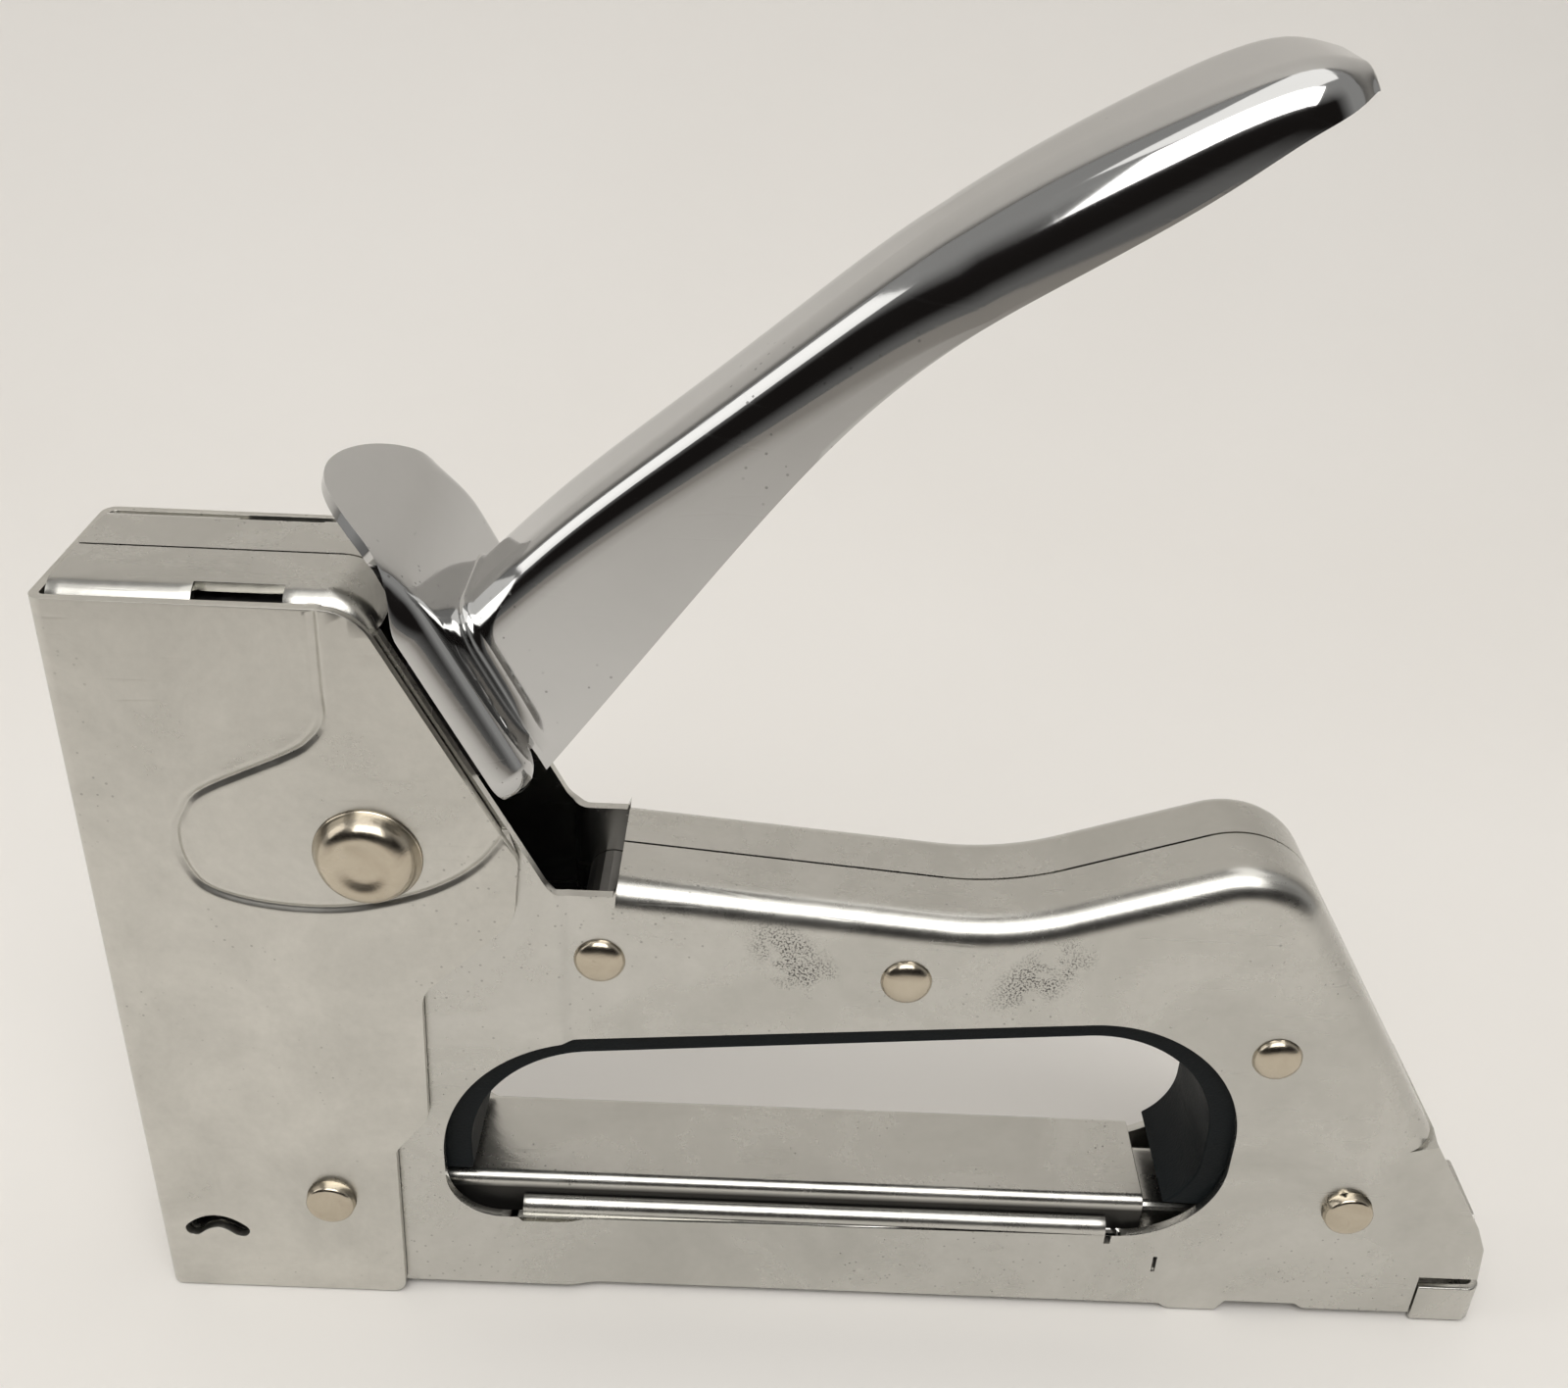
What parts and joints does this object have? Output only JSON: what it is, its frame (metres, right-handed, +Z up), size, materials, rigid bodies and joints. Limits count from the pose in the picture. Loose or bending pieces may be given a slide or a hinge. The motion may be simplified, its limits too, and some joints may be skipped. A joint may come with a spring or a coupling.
{
  "type": "staple gun",
  "caption": "Hand-operated staple gun in plated pressed steel, with a squeeze handle and hand guard, a riveted nose cover, a looped grip and a rail magazine that slides out at the heel.",
  "frame": {"origin": "middle of the base, on the surface that the tool stands on", "axes": "+X from the nose to the heel, +Y to the far side, +Z up from the base to the handle"},
  "size_m": [0.1486, 0.0272, 0.1352],
  "materials": {
    "zinc_plate": "satin bright zinc plate, faintly mottled, with polished folds",
    "chrome_plate": "polished chrome plate",
    "nickel_plate": "bright nickel plate with a warm tint",
    "tool_steel": "plain hardened steel, lightly oiled",
    "spring_steel": "dark oiled spring wire",
    "black_plastic": "moulded blue-black plastic, semi-matt",
    "rubber": "dull black rubber",
    "brass": "turned brass"
  },
  "bodies": {
    "frame": {"body_half_near": "zinc_plate", "body_half_far": "zinc_plate", "front_cover": "zinc_plate", "pivot_rivet": "nickel_plate", "grip_rivet_front": "nickel_plate", "grip_rivet_middle": "nickel_plate", "grip_rivet_rear": "nickel_plate", "grip_spacer_front": "tool_steel", "grip_spacer_middle": "tool_steel", "grip_spacer_rear": "tool_steel", "heel_rivet": "nickel_plate", "heel_spacer": "tool_steel", "nose_rivet_near": "nickel_plate", "nose_rivet_far": "nickel_plate", "finger_liner": "black_plastic", "nose_plate": "tool_steel", "spring_cap": "tool_steel", "bumper": "rubber", "bumper_bracket": "zinc_plate", "magazine_cover": "zinc_plate"},
    "lever": {"handle": "chrome_plate", "lever_arm_near": "tool_steel", "lever_arm_far": "tool_steel", "lifting_pin": "tool_steel", "pivot_bush": "brass"},
    "striker": {"plunger": "tool_steel", "striker_blade": "tool_steel", "blade_rivet_lower": "nickel_plate", "blade_rivet_upper": "nickel_plate", "main_spring": "spring_steel"},
    "rail": {"magazine_rail": "zinc_plate", "rod_block": "black_plastic", "guide_rod": "tool_steel", "pusher_spring": "spring_steel", "rail_latch": "zinc_plate"},
    "feeder": {"pusher": "tool_steel"}
  },
  "joints": [
    {"name": "handle_squeeze", "type": "hinge", "parent": "frame", "child": "lever", "pos_m": [-0.0467, 0, 0.061], "axis": [0, 1, 0], "range_deg": [0, 36], "stiffness_Nm_per_rad": 4, "springref_deg": -28.65},
    {"name": "plunger_lift", "type": "slide", "parent": "frame", "child": "striker", "axis": [0, 0, 1], "range_m": [0, 0.013], "deforming": ["main_spring"]},
    {"name": "rail_slide", "type": "slide", "parent": "frame", "child": "rail", "axis": [1, 0, 0], "range_m": [0, 0.1]},
    {"name": "pusher_travel", "type": "slide", "parent": "rail", "child": "feeder", "axis": [1, 0, 0], "range_m": [0, 0.065], "stiffness_N_per_m": 60, "springref_m": -0.03, "deforming": ["pusher_spring"]}
  ],
  "couplings": [
    {"joint": "plunger_lift", "follows": "handle_squeeze", "m_per_rad": 0.01967}
  ]
}
